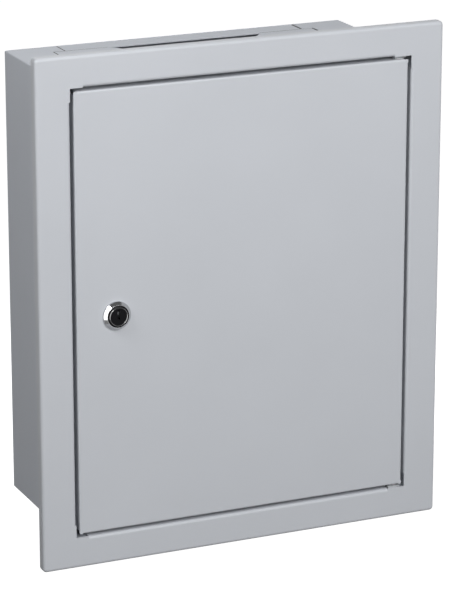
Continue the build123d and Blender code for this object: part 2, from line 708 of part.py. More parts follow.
def bar_feet():
    """Insulating feet under both ends of both bars."""
    reach = (BAR_LENGTH - BAR_FOOT_W) / 2
    foot = Pos(0, at_depth(STRIP_FRONT - BAR_FOOT / 2), STRIP_Z) * Box(BAR_FOOT_W, BAR_FOOT, BAR_FOOT_H)
    foot = fillet(foot.edges().filter_by(Axis.Y), BAR_FOOT_W / 6)
    middles = [i * BAR_MIDDLE for i in (-1, 1)]
    return [Pos(middle + j * reach, 0, 0) * foot for middle in middles for j in (-1, 1)]


def terminal_bar(middle):
    """Brass bar with a wire hole and a screw hole at each step."""
    y = (at_depth(BAR_FRONT), at_depth(BAR_FRONT + BAR_SIDE))
    x = (middle - BAR_LENGTH / 2, middle + BAR_LENGTH / 2)
    body = block(x, y, (STRIP_Z - BAR_SIDE / 2, STRIP_Z + BAR_SIDE / 2))
    wire = rod(BAR_WIRE_R, STRIP_Z - BAR_SIDE / 2, STRIP_Z + BAR_SIDE / 2)
    for step in bar_steps():
        body -= Pos(middle + step, at_depth(BAR_FRONT + BAR_SIDE / 2), 0) * wire
        body -= inward(middle + step, BAR_FRONT, STRIP_Z) * rod(M4_R + THREAD_FIT, 0, BAR_SIDE / 2)
    return body


def terminal_screws():
    """Clamping screws of both bars."""
    shape = screw(M4_R, BAR_SIDE / 2, crossed=False)
    places = [i * BAR_MIDDLE + step for i in (-1, 1) for step in bar_steps()]
    return [inward(x, BAR_FRONT, STRIP_Z) * shape for x in places]


# Touch guard
def guard_places():
    """Places of the guard's screws and standoffs."""
    return [(i * UPRIGHT_X, j * GUARD_SCREW_Z) for i in (-1, 1) for j in (-1, 1)]


def touch_guard():
    """Folded cover with one slot for each row of devices."""
    corner = GUARD_BEND + 2 * GUARD_SHEET
    body = tray(GUARD_W, GUARD_H, GUARD_DEPTH, GUARD_RETURN, GUARD_SHEET, GUARD_BEND, corner)
    for z in RAIL_Z.values():
        body -= Pos(0, at_depth(GUARD_DEPTH), z) * Box(GUARD_SLOT_W, 4 * GUARD_SHEET, GUARD_SLOT_H)
    for x, z in guard_places():
        body -= inward(x, GUARD_DEPTH, z) * rod(M5_R + THREAD_FIT, 0, GUARD_SHEET)
    return body


def guard_standoffs():
    """Hexagon standoffs between uprights and guard, tapped in front and threaded behind."""
    start = GUARD_DEPTH + GUARD_SHEET
    length = CARRIER_DEPTH - start
    body = extrude(RegularPolygon(STANDOFF_FLATS / 2, 6, major_radius=False), length)
    body -= rod(M5_R + THREAD_FIT, 0, STANDOFF_TAP)
    body += rod(M5_R, length, length + UPRIGHT_SHEET + NUT_HEIGHT * M5_R)
    return [inward(x, start, z) * body for x, z in guard_places()]


def guard_screws():
    """Screws of the touch guard."""
    shape = screw(M5_R, STANDOFF_TAP - M5_R)
    return [inward(x, GUARD_DEPTH, z) * shape for x, z in guard_places()]


# Earth studs, drawn along +Z from the wall that they stand on
def earth_stud():
    """Welded stud."""
    return rod(M6_R, 0, EARTH_STUD)


def earth_nut():
    """Flanged nut at the foot of an earth stud."""
    flange = rod(2 * M6_R, 0, M6_R / 2) - rod(M6_R + THREAD_FIT, 0, M6_R / 2)
    return flange + Pos(0, 0, M6_R / 2) * thread_nut(M6_R)


def on_tub(shape):
    """A piece on the inside of the tub's back wall."""
    return Pos(TUB_EARTH[0], -SHEET, TUB_EARTH[1]) * Rot(90, 0, 0) * shape


def on_door(shape):
    """A piece on the inside of the door."""
    return inward(DOOR_EARTH[0], DOOR_SHEET, DOOR_EARTH[1]) * shape


def all_nodes():
    """Every piece by its node's name."""
    nodes = {
        "wall_tub": wall_tub(),
        "front_frame": front_frame(),
        "door_panel": door_panel(),
        "touch_guard": touch_guard(),
        "entry_screws": entry_screws(),
        "frame_brackets": frame_brackets(),
        "frame_screws": frame_screws(),
        "door_buffers": door_buffers(),
        "carrier_studs": carrier_studs(),
        "carrier_nuts": carrier_nuts(),
        "carrier_upright_left": carrier_upright(-1),
        "carrier_upright_right": carrier_upright(1),
        "rail_screws": rail_screws(),
        "terminal_strip": terminal_strip(),
        "strip_screws": strip_screws(),
        "bar_feet": bar_feet(),
        "neutral_bar": terminal_bar(-BAR_MIDDLE),
        "earth_bar": terminal_bar(BAR_MIDDLE),
        "terminal_screws": terminal_screws(),
        "guard_standoffs": guard_standoffs(),
        "guard_screws": guard_screws(),
        "tub_earth_stud": on_tub(earth_stud()),
        "tub_earth_nut": on_tub(earth_nut()),
        "door_earth_stud": on_door(earth_stud()),
        "door_earth_nut": on_door(earth_nut()),
        "lock_housing": in_door(lock_housing()),
        "lock_nut": in_door(lock_nut()),
        "lock_plug": in_door(lock_plug()),
        "lock_cam": in_door(lock_cam()),
        "cam_screw": in_door(cam_screw()),
    }
    for name, z in RAIL_Z.items():
        nodes[f"device_rail_{name}"] = device_rail(z)
    mirrored = {
        "entry_plate_{}_rear": entry_plate_rear(),
        "entry_plate_{}_front": entry_plate_front(),
        "hinge_bracket_{}": hinge_bracket(),
        "hinge_pin_{}": hinge_pin(),
        "hinge_washer_{}": hinge_washer(),
    }
    for name, shape in mirrored.items():
        for end, piece in zip(("top", "bottom"), both_ends(shape)):
            nodes[name.format(end)] = piece
    return nodes


os.makedirs("parts", exist_ok=True)
for node, shape in all_nodes().items():
    solids = shape if isinstance(shape, list) else [shape]
    export_step(Compound(children=solids) if len(solids) > 1 else solids[0], f"parts/{node}.step")
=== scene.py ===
"""A flush-mount distribution board in light grey powder coat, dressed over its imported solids."""
import itertools
import logging
import math
from dataclasses import dataclass, field
from enum import Enum

import bpy
import numpy as np
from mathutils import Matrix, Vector


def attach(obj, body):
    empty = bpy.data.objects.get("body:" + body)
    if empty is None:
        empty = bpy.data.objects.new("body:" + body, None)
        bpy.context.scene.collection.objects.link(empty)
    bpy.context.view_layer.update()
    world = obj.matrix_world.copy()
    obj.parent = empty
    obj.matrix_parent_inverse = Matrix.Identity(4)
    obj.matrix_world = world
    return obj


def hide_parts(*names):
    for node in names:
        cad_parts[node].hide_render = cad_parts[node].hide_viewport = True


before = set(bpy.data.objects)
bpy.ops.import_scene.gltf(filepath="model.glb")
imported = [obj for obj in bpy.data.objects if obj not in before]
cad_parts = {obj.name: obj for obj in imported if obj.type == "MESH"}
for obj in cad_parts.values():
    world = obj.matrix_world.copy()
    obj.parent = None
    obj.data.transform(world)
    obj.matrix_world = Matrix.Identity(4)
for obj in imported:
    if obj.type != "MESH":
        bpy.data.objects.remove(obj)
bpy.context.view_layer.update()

LOG = logging.getLogger("board")
MM = 0.001
FRONT = -170.0 * MM  # plane of the door's face
TINY = 1e-6  # keeps a divisor above zero
ROUND = 144  # points round the lock's turned pieces
MIDDLE_HALF = (0.25, 0.75)  # where most values of a noise lie
FINE = 3.0  # octaves of a noise with finer detail
SHARP_EDGE = 30.0  # degrees
THREAD_EDGE = 60.0  # degrees, so that a thread's flanks stay smooth
Colour = tuple[float, float, float]
Point = tuple[float, float, float]
Pair = tuple[float, float]
FORWARD: Point = (0.0, -1.0, 0.0)
BACKWARD: Point = (0.0, 1.0, 0.0)
UP: Point = (0.0, 0.0, 1.0)


class Body(Enum):
    """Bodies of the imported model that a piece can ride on."""

    HOUSING = "housing"
    DOOR = "door"
    LOCK = "lock"


class Slot(Enum):
    """Finish slots of the record."""

    FACE = "face_coat"
    TUB = "tub_coat"
    GUARD = "guard_coat"
    ZINC = "zinc"
    CHROME = "chrome"
    PLUG = "black_plug"
    BRASS = "brass"
    NYLON = "nylon"
    INSULATOR = "insulator"
    RUBBER = "rubber"


class Graph:
    """Shader nodes of one material, with short ways to add and link them."""

    def __init__(self, name: str) -> None:
        """Starts a material that holds one Principled shader.

        Args:
            name: The material's name.
        """
        self.material = bpy.data.materials.new(name)
        self.material.use_nodes = True
        self.tree = self.material.node_tree
        self.shader = self.tree.nodes["Principled BSDF"]
        self.where = self.tree.nodes.new("ShaderNodeTexCoord").outputs["Object"]

    def set(self, **values: float) -> None:
        """Sets constant inputs of the shader, with underscores for the spaces in their names."""
        for key, value in values.items():
            self.shader.inputs[key.replace("_", " ")].default_value = value

    def noise(
        self, width: float, detail: float = 2.0, stretch: Point = (1.0, 1.0, 1.0),
    ) -> bpy.types.NodeSocket:
        """Soft noise with features of about the given width.

        Args:
            width: Width of a feature in metres.
            detail: Octaves of finer noise.
            stretch: Factor on the frequency along each axis.

        Returns:
            The noise's value, from 0 to 1.
        """
        mapping = self.tree.nodes.new("ShaderNodeMapping")
        mapping.inputs["Scale"].default_value = stretch
        self.tree.links.new(self.where, mapping.inputs["Vector"])
        node = self.tree.nodes.new("ShaderNodeTexNoise")
        node.inputs["Scale"].default_value = 1.0 / width
        node.inputs["Detail"].default_value = detail
        self.tree.links.new(mapping.outputs["Vector"], node.inputs["Vector"])
        return node.outputs["Fac"]

    def cells(self, width: float) -> bpy.types.NodeSocket:
        """Irregular flat cells, each with its own random tone.

        Args:
            width: Width of a cell in metres.

        Returns:
            One random value for each cell.
        """
        node = self.tree.nodes.new("ShaderNodeTexVoronoi")
        node.inputs["Scale"].default_value = 1.0 / width
        self.tree.links.new(self.where, node.inputs["Vector"])
        split = self.tree.nodes.new("ShaderNodeSeparateColor")
        self.tree.links.new(node.outputs["Color"], split.inputs["Color"])
        return split.outputs["Red"]

    def spread(self, value: bpy.types.NodeSocket, low: float, high: float) -> bpy.types.NodeSocket:
        """Maps the middle half of a noise to a range of numbers.

        Args:
            value: A noise from 0 to 1.
            low: Result at 0.25.
            high: Result at 0.75.

        Returns:
            The mapped value, not clamped.
        """
        node = self.tree.nodes.new("ShaderNodeMapRange")
        node.clamp = False
        node.inputs["From Min"].default_value, node.inputs["From Max"].default_value = MIDDLE_HALF
        node.inputs["To Min"].default_value, node.inputs["To Max"].default_value = low, high
        self.tree.links.new(value, node.inputs["Value"])
        return node.outputs["Result"]

    def tint(self, value: bpy.types.NodeSocket, low: Colour, high: Colour) -> bpy.types.NodeSocket:
        """Colour between two tones, by the middle half of a noise.

        Args:
            value: A noise from 0 to 1.
            low: Colour at 0.25.
            high: Colour at 0.75.

        Returns:
            The mixed colour.
        """
        node = self.tree.nodes.new("ShaderNodeMix")
        node.data_type = "RGBA"
        colours = [socket for socket in node.inputs if socket.type == "RGBA"]
        colours[0].default_value = (*low, 1.0)
        colours[1].default_value = (*high, 1.0)
        self.tree.links.new(self.spread(value, 0.0, 1.0), node.inputs["Factor"])
        return [socket for socket in node.outputs if socket.type == "RGBA"][0]

    def bump(self, value: bpy.types.NodeSocket, height: float, strength: float) -> None:
        """Turns a value into fine relief on the shader's normal.

        Args:
            value: Height as a noise from 0 to 1.
            height: Full height of the relief in metres.
            strength: How much of it shows.
        """
        node = self.tree.nodes.new("ShaderNodeBump")
        node.inputs["Distance"].default_value = height
        node.inputs["Strength"].default_value = strength
        self.tree.links.new(value, node.inputs["Height"])
        self.tree.links.new(node.outputs["Normal"], self.shader.inputs["Normal"])

    def tone(self, value: bpy.types.NodeSocket, colour: Colour, low: float, high: float) -> None:
        """Lets a noise take the base colour from one shade to another.

        Args:
            value: A noise from 0 to 1.
            colour: The finish's colour.
            low: Factor on it at 0.25.
            high: Factor on it at 0.75.
        """
        mixed = self.tint(value, shade(colour, low), shade(colour, high))
        self.tree.links.new(mixed, self.shader.inputs["Base Color"])

    def gloss(self, value: bpy.types.NodeSocket, roughness: float, less: float, more: float) -> None:
        """Lets a noise take the roughness below and above its mean.

        Args:
            value: A noise from 0 to 1.
            roughness: The mean roughness.
            less: Fall from it at 0.25.
            more: Rise over it at 0.75.
        """
        mapped = self.spread(value, roughness - less, roughness + more)
        self.tree.links.new(mapped, self.shader.inputs["Roughness"])


def shade(colour: Colour, factor: float) -> Colour:
    """A colour made lighter or darker by a factor."""
    return tuple(channel * factor for channel in colour)


@dataclass(frozen=True)
class PowderCoat:
    """Baked powder paint: even colour, faint clouds and a fine orange-peel relief."""

    name: str
    colour: Colour
    roughness: float = 0.45
    index: float = 1.3
    cloud: float = 90.0 * MM
    drift: float = 0.015
    grain: float = 2.5 * MM
    patchy: float = 0.05
    peel: float = 1.5 * MM
    relief: float = 0.06 * MM
    shown: float = 0.6

    def make(self) -> bpy.types.Material:
        """Builds the paint.

        Returns:
            The material, with clouding, grain and peel from noise.
        """
        graph = Graph(self.name)
        graph.set(Metallic=0.0, IOR=self.index)
        graph.tone(graph.noise(self.cloud, FINE), self.colour, 1.0 - self.drift, 1.0 + self.drift)
        graph.gloss(graph.noise(self.grain), self.roughness, self.patchy, self.patchy)
        graph.bump(graph.noise(self.peel), self.relief, self.shown)
        return graph.material


@dataclass(frozen=True)
class Zinc:
    """Bright zinc plate: cool metal with faint spangles and rubbed streaks."""

    name: str
    colour: Colour = (0.4, 0.41, 0.425)
    roughness: float = 0.46
    tones: Pair = (0.9, 1.06)
    spangle: float = 3.5 * MM
    streak: float = 1.2 * MM
    along: Point = (0.12, 1.0, 1.0)
    rubbed: float = 0.07
    relief: float = 0.01 * MM
    shown: float = 0.5

    def make(self) -> bpy.types.Material:
        """Builds the plating.

        Returns:
            The material, toned by cells and streaked by stretched noise.
        """
        graph = Graph(self.name)
        graph.set(Metallic=1.0)
        graph.tone(graph.cells(self.spangle), self.colour, *self.tones)
        streaks = graph.noise(self.streak, stretch=self.along)
        graph.gloss(streaks, self.roughness, self.rubbed, self.rubbed)
        graph.bump(streaks, self.relief, self.shown)
        return graph.material


@dataclass(frozen=True)
class Chrome:
    """Polished chrome plate with a trace of wipe marks."""

    name: str
    colour: Colour = (0.52, 0.525, 0.535)
    roughness: float = 0.09
    tones: Pair = (0.97, 1.0)
    mark: float = 3.0 * MM
    wiped: float = 0.03

    def make(self) -> bpy.types.Material:
        """Builds the plating.

        Returns:
            The material, with roughness that drifts slightly.
        """
        graph = Graph(self.name)
        graph.set(Metallic=1.0)
        wipe = graph.noise(self.mark, FINE)
        graph.tone(wipe, self.colour, *self.tones)
        graph.gloss(wipe, self.roughness, self.wiped, self.wiped)
        return graph.material


@dataclass(frozen=True)
class BlackOxide:
    """Black finished die-cast plug, satin with a fine cast grain."""

    name: str
    colour: Colour = (0.004, 0.004, 0.005)
    roughness: float = 0.28
    index: float = 1.16
    tones: Pair = (0.7, 1.5)
    patchy: Pair = (0.06, 0.08)
    grain: float = 0.5 * MM
    relief: float = 0.02 * MM
    shown: float = 0.4

    def make(self) -> bpy.types.Material:
        """Builds the finish.

        Returns:
            The material, with grain in tone, gloss and relief.
        """
        graph = Graph(self.name)
        graph.set(Metallic=0.0, IOR=self.index)
        grain = graph.noise(self.grain)
        graph.tone(grain, self.colour, *self.tones)
        graph.gloss(grain, self.roughness, *self.patchy)
        graph.bump(grain, self.relief, self.shown)
        return graph.material


@dataclass(frozen=True)
class Brass:
    """Drawn brass with lengthwise draw lines and a little tarnish."""

    name: str
    colour: Colour = (0.73, 0.52, 0.2)
    roughness: float = 0.3
    tones: Pair = (0.82, 1.0)
    patch: float = 9.0 * MM
    line: float = 0.8 * MM
    along: Point = (0.05, 1.0, 1.0)
    drawn: float = 0.08
    relief: float = 0.012 * MM
    shown: float = 0.5

    def make(self) -> bpy.types.Material:
        """Builds the metal.

        Returns:
            The material, with lines along X and patches of darker tone.
        """
        graph = Graph(self.name)
        graph.set(Metallic=1.0)
        graph.tone(graph.noise(self.patch, FINE), self.colour, *self.tones)
        lines = graph.noise(self.line, stretch=self.along)
        graph.gloss(lines, self.roughness, self.drawn, self.drawn)
        graph.bump(lines, self.relief, self.shown)
        return graph.material


@dataclass(frozen=True)
class Moulding:
    """Moulded polymer: nylon, insulating resin or rubber, by its colour and gloss."""

    name: str
    colour: Colour
    roughness: float
    grain: float = 0.6 * MM
    glow: float = 0.0
    index: float = 1.5
    depth: float = 1.0 * MM
    cloud: float = 12.0 * MM
    drift: float = 0.06
    patchy: float = 0.05
    relief: float = 0.03 * MM
    shown: float = 0.5

    def make(self) -> bpy.types.Material:
        """Builds the polymer.

        Returns:
            The material, with a spark-eroded grain and a slight drift of tone.
        """
        graph = Graph(self.name)
        graph.set(Metallic=0.0, IOR=self.index)
        graph.set(Subsurface_Weight=self.glow, Subsurface_Scale=self.depth)
        graph.tone(graph.noise(self.cloud), self.colour, 1.0 - self.drift, 1.0 + self.drift)
        grain = graph.noise(self.grain)
        graph.gloss(grain, self.roughness, self.patchy, self.patchy)
        graph.bump(grain, self.relief, self.shown)
        return graph.material


class Finishes:
    """The board's materials, one for each slot of the record."""

    def __init__(self) -> None:
        """Builds every material once."""
        recipes = {
            Slot.FACE: PowderCoat("light_grey_face_coat", (0.505, 0.523, 0.556)),
            # the tub's coat is the face's paint made about 5 % lighter: painted light for the sheen
            # that its rougher finish loses
            Slot.TUB: PowderCoat("light_grey_tub_coat_painted_lighter", (0.516, 0.54, 0.585), roughness=0.56),
            Slot.GUARD: PowderCoat("light_grey_guard_coat", (0.52, 0.535, 0.56)),
            Slot.ZINC: Zinc("bright_zinc"),
            Slot.CHROME: Chrome("lock_chrome"),
            Slot.PLUG: BlackOxide("black_lock_plug"),
            Slot.BRASS: Brass("drawn_brass"),
            Slot.NYLON: Moulding("grey_nylon", (0.42, 0.43, 0.44), roughness=0.4, glow=0.1),
            Slot.INSULATOR: Moulding("grey_insulator", (0.2, 0.21, 0.22), roughness=0.45),
            Slot.RUBBER: Moulding("black_rubber", (0.018, 0.018, 0.018), roughness=0.62),
        }
        self.materials = {slot: recipe.make() for slot, recipe in recipes.items()}
        # rougher, darker copy of the zinc for the brackets in the door's seam: the darker colour is
        # painted shade
        self.dull = Zinc("dulled_zinc_painted_shade", (0.34, 0.35, 0.365), roughness=0.8).make()
        self.bead = BlackOxide("polished_plug_bead", roughness=0.15, index=2.4).make()

    def coat(self, piece: bpy.types.Object, slot: Slot) -> None:
        """Gives a piece one finish all over.

        Args:
            piece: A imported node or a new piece.
            slot: The finish's slot.
        """
        piece.data.materials.clear()
        piece.data.materials.append(self.materials[slot])


@dataclass(frozen=True)
class Axle:
    """A line that round pieces are turned on: start, direction, and the side where the angle is 0."""

    start: Point
    along: Point = BACKWARD
    across: Point = (1.0, 0.0, 0.0)

    def points(self, radius: np.ndarray, angle: np.ndarray, travel: np.ndarray) -> np.ndarray:
        """Places cylindrical coordinates.

        A point is start + travel * along + radius * (cos(angle) * across + sin(angle) * third).

        Args:
            radius: Distances from the line.
            angle: Angles round the line, in radians.
            travel: Distances along the line.

        Returns:
            Points, with the broadcast shape of the inputs and a last axis of 3.
        """
        along = np.array(self.along)
        across = np.array(self.across)
        third = np.cross(along, across)
        radius, angle, travel = np.broadcast_arrays(radius, angle, travel)
        side = np.cos(angle)[..., None] * across + np.sin(angle)[..., None] * third
        return np.array(self.start) + travel[..., None] * along + radius[..., None] * side


def ring_faces(rows: int, columns: int, closed: bool) -> np.ndarray:
    """Quads of a grid whose columns wrap round, pointing away from the axis.

    Args:
        rows: Points along the profile.
        columns: Points round the axis.
        closed: Whether the last row joins the first.

    Returns:
        Corner indices, one quad in each row.
    """
    i = np.arange(rows if closed else rows - 1)[:, None]
    j = np.arange(columns)[None, :]
    below, above = i * columns, (i + 1) % rows * columns
    right = (j + 1) % columns
    return np.stack([below + j, below + right, above + right, above + j], -1).reshape(-1, 4)


@dataclass
class Shell:
    """Points and faces gathered from several grids, made into one mesh."""

    points: list[np.ndarray] = field(default_factory=list)
    faces: list[list[int]] = field(default_factory=list)
    count: int = 0

    def add(self, points: np.ndarray, faces: np.ndarray) -> None:
        """Adds points with the faces between them.

        Args:
            points: Points in a grid of any shape, with a last axis of 3.
            faces: Corner indices into these points.
        """
        flat = points.reshape(-1, 3)
        self.points.append(flat)
        self.faces.extend((faces + self.count).tolist())
        self.count += len(flat)

    def turn(self, axle: Axle, radius: np.ndarray, travel: np.ndarray, closed: bool = True) -> None:
        """Adds a turned surface from one radius for each profile point and angle.

        Args:
            axle: The line that it is turned on.
            radius: Array of profile points by angles.
            travel: Place of each profile point along the line.
            closed: Whether the profile is a loop. An open one gets a pole at each end.
        """
        rows, columns = radius.shape
        angle = np.arange(columns) * 2 * np.pi / columns
        grid = axle.points(radius, angle[None, :], travel[:, None])
        start = self.count
        self.add(grid, ring_faces(rows, columns, closed))
        if closed:
            return
        j = np.arange(columns)
        right = (j + 1) % columns
        last = (rows - 1) * columns
        poles = axle.points(np.zeros(2), np.zeros(2), travel[[0, -1]])
        first_pole, last_pole = rows * columns, rows * columns + 1
        low = np.stack([np.full(columns, first_pole), right, j], -1)
        high = np.stack([np.full(columns, last_pole), last + j, last + right], -1)
        self.points.append(poles)
        self.faces.extend((np.concatenate([low, high]) + start).tolist())
        self.count += 2

    def box(self, low: np.ndarray, high: np.ndarray) -> None:
        """Adds a closed box.

        Args:
            low: Its lowest corner.
            high: Its highest corner.
        """
        ring = np.array([(0, 0), (1, 0), (1, 1), (0, 1)])
        pick = np.column_stack([np.tile(ring, (2, 1)), np.repeat([0, 1], 4)])
        sides = [(0, 3, 2, 1), (4, 5, 6, 7), (0, 1, 5, 4), (1, 2, 6, 5), (2, 3, 7, 6), (3, 0, 4, 7)]
        self.add(low + pick * (high - low), np.array(sides))

    def build(self, name: str, angle: float = SHARP_EDGE) -> bpy.types.Object:
        """Makes the mesh object, at the origin, smooth except across sharp edges.

        Args:
            name: The piece's name.
            angle: Edges sharper than this many degrees stay hard.

        Returns:
            The new object, linked to the scene.
        """
        mesh = bpy.data.meshes.new(name)
        mesh.from_pydata(np.concatenate(self.points).tolist(), [], self.faces)
        mesh.validate()
        mesh.shade_smooth()
        mesh.set_sharp_from_angle(angle=math.radians(angle))
        piece = bpy.data.objects.new(name, mesh)
        bpy.context.scene.collection.objects.link(piece)
        return piece


@dataclass(frozen=True)
class Thread:
    """A rolled screw thread: crest radius, pitch and depth, and its nut's width across flats."""

    radius: float
    pitch: float
    depth: float
    flats: float
    steps: int = 8

    def rows(self, start: float, end: float, columns: int) -> tuple[np.ndarray, np.ndarray]:
        """Radius of a helical ridge, run out at both ends.

        It is crest - depth * wave(travel / pitch - angle / turn), with a cosine wave from 0 to 1.

        Args:
            start: Travel where the thread begins.
            end: Travel where it ends.
            columns: Points round the axis.

        Returns:
            Radii by travel and angle, and the travels.
        """
        travel = np.linspace(start, end, int(np.ceil((end - start) / self.pitch * self.steps)) + 1)
        angle = np.arange(columns) / columns
        wave = 0.5 - 0.5 * np.cos(2 * np.pi * (travel[:, None] / self.pitch - angle[None, :]))
        radius = self.radius - self.depth * wave
        inset = np.minimum(travel - start, end - travel)[:, None]
        return np.minimum(radius, self.radius - self.depth + inset), travel


@dataclass(frozen=True)
class Hexagon:
    """A hexagon across its flats, with chamfered corners."""

    flats: float
    bevel: float = 0.96
    steps: int = 4

    def rows(self, start: float, end: float, columns: int = 48) -> tuple[np.ndarray, np.ndarray]:
        """Radius of the least of the hexagon's side and the chamfer cones at both faces.

        Args:
            start: Travel of the first face.
            end: Travel of the second face.
            columns: Points round the axis, a multiple of 12.

        Returns:
            Radii by travel and angle, and the travels.
        """
        half, height = self.flats / 2, end - start
        rise = half * (2 / math.sqrt(3) - self.bevel) / math.sqrt(3)
        lower = np.linspace(0, rise, self.steps)
        travel = np.concatenate([lower, np.linspace(height - rise, height, self.steps)])
        angle = np.arange(columns) * 2 * np.pi / columns
        wedge = np.mod(angle + np.pi / 6, np.pi / 3) - np.pi / 6
        side = half / np.cos(wedge)
        cone = half * self.bevel + np.minimum(travel, height - travel) * math.sqrt(3)
        return np.minimum(side[None, :], cone[:, None]), travel + start


@dataclass(frozen=True)
class Fixing:
    """A threaded stud and the nuts on it, along one line."""

    axle: Axle
    thread: Thread
    columns: int = 32
    clearance: float = 0.05 * MM
    lead: float = 0.2
    rounding: float = 0.12

    def stud(self, shell: Shell, start: float, end: float, threaded: float) -> None:
        """Adds a stud: a plain shank, then the thread.

        Args:
            shell: Where it goes.
            start: Travel of the plain end.
            end: Travel of the threaded end.
            threaded: Length of the thread.
        """
        ridge, travel = self.thread.rows(end - threaded, end, self.columns)
        shank = np.full((2, self.columns), self.thread.radius)
        ends = [start, end - threaded - self.lead * self.thread.pitch]
        radius = np.concatenate([shank, ridge])
        shell.turn(self.axle, radius, np.concatenate([ends, travel]), closed=False)

    def nut(
        self, shell: Shell, start: float, end: float, flange: float = 0.0, thick: float = 0.0,
    ) -> None:
        """Adds a chamfered nut round the thread, on a flange if it has one.

        Args:
            shell: Where it goes.
            start: Travel of its seat.
            end: Travel of its free face.
            flange: Radius of the flange.
            thick: Thickness of the flange.
        """
        body, travel = Hexagon(self.thread.flats).rows(start + thick, end)
        columns = body.shape[1]
        bore = np.full((1, columns), self.thread.radius + self.clearance)
        soft = self.rounding * thick
        rim = np.array([
            (flange - soft, start),
            (flange, start + soft),
            (flange, start + thick - soft),
            (flange - soft, start + thick),
        ]) if thick else np.empty((0, 2))
        radius = np.concatenate([bore, np.repeat(rim[:, :1], columns, 1), body, bore])
        shell.turn(self.axle, radius, np.concatenate([[start], rim[:, 1], travel, [end]]))


M5 = Thread(2.5 * MM, 0.8 * MM, 0.44 * MM, 8.0 * MM)
M6 = Thread(3.0 * MM, 1.0 * MM, 0.55 * MM, 9.6 * MM)


@dataclass(frozen=True)
class EarthPoint:
    """A welded earth stud with a flanged nut at its foot."""

    axle: Axle
    length: float = 18.0 * MM
    foot: float = 6.3 * MM
    flange: float = 6.0 * MM
    thick: float = 1.5 * MM
    overlap: float = 1.0 * MM

    def pieces(self, name: str) -> tuple[bpy.types.Object, bpy.types.Object]:
        """Builds the stud and the nut.

        Args:
            name: Start of their names.

        Returns:
            The stud and the nut.
        """
        fixing = Fixing(self.axle, M6)
        stud, nut = Shell(), Shell()
        fixing.stud(stud, 0.0, self.length, self.length - self.foot + self.overlap)
        fixing.nut(nut, 0.0, self.foot, self.flange, self.thick)
        return stud.build(f"{name}_stud_threaded", THREAD_EDGE), nut.build(f"{name}_nut_chamfered")


@dataclass
class Assembly:
    """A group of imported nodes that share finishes, with the pieces made for it."""

    finishes: Finishes
    nodes: dict[Slot, tuple[str, ...]] = field(default_factory=dict)

    def dress(self) -> None:
        """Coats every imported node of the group."""
        for slot, names in self.nodes.items():
            for name in names:
                self.finishes.coat(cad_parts[name], slot)
                LOG.info("coated %s as %s", name, slot.value)

    def build(self) -> None:
        """Makes the group's own pieces; a group without any makes none."""

    def seat(
        self, piece: bpy.types.Object, body: Body, slot: Slot, *replaced: str,
    ) -> bpy.types.Object:
        """Coats a new piece, lets it ride on a body, and hides the nodes that it stands for.

        Args:
            piece: The new piece.
            body: Body that carries it.
            slot: Its finish.
            replaced: Nodes that it stands for.

        Returns:
            The same piece.
        """
        self.finishes.coat(piece, slot)
        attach(piece, body.value)
        if replaced:
            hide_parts(*replaced)
        LOG.info("built %s on %s", piece.name, body.value)
        return piece


@dataclass
class WallTub(Assembly):
    """Tub in the wall with its cable entry plates."""

    nodes: dict[Slot, tuple[str, ...]] = field(default_factory=lambda: {
        Slot.TUB: (
            "wall_tub",
            "entry_plate_top_rear",
            "entry_plate_top_front",
            "entry_plate_bottom_rear",
            "entry_plate_bottom_front",
        ),
        Slot.ZINC: ("entry_screws", "tub_earth_stud", "tub_earth_nut"),
    })
    earth: Axle = Axle((60.0 * MM, -1.25 * MM, -195.0 * MM), FORWARD, UP)
    # spans of the painted-shade strips in the seams of the entry plates, in mm
    shade_strip_mm: Pair = (224.3, 225.05)
    shade_strip_runs_mm: tuple[tuple[Pair, Pair], ...] = (
        ((82.0, 140.0), (-27.0, -26.0)),
        ((126.0, 128.0), (-26.0, -3.0)),
        ((138.0, 140.0), (-100.0, -27.0)),
    )

    def shade_strips(self) -> bpy.types.Object:
        """Black strips in the seams of the entry plates, just below their faces: painted shade that
        darkens the seams.

        Each run is a box, mirrored to both sides and to the top and bottom.

        Returns:
            The seals, in the tub.
        """
        shell = Shell()
        for (across, deep), side, end in itertools.product(self.shade_strip_runs_mm, (-1, 1), (-1, 1)):
            spans = [side * np.array(across), np.array(deep), end * np.array(self.shade_strip_mm)]
            low, high = np.sort(spans, 1).T * MM
            shell.box(low, high)
        return shell.build("entry_seam_shade_strips")

    def build(self) -> None:
        """Makes the painted-shade strips in the seams, and the earth stud with its nut."""
        self.seat(self.shade_strips(), Body.HOUSING, Slot.RUBBER)
        stud, nut = EarthPoint(self.earth).pieces("tub_earth")
        self.seat(stud, Body.HOUSING, Slot.ZINC, "tub_earth_stud")
        self.seat(nut, Body.HOUSING, Slot.ZINC, "tub_earth_nut")


@dataclass
class FrontFrame(Assembly):
    """Front frame with its brackets, buffers and the door's pivots."""

    nodes: dict[Slot, tuple[str, ...]] = field(default_factory=lambda: {
        Slot.FACE: ("front_frame",),
        Slot.ZINC: (
            "frame_brackets",
            "frame_screws",
            "hinge_bracket_top",
            "hinge_bracket_bottom",
            "hinge_pin_top",
            "hinge_pin_bottom",
        ),
        Slot.NYLON: ("hinge_washer_top", "hinge_washer_bottom"),
        Slot.RUBBER: ("door_buffers",),
    })
    # brackets that get the darker zinc, as painted shade in the door's seam
    seam_shaded: tuple[str, ...] = ("hinge_bracket_top", "hinge_bracket_bottom")

    def dress(self) -> None:
        """Coats the nodes, and gives the brackets that show in the door's seam a rougher, darker copy
        of the zinc, whose darker colour is painted shade.
        """
        super().dress()
        for name in self.seam_shaded:
            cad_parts[name].data.materials[0] = self.finishes.dull


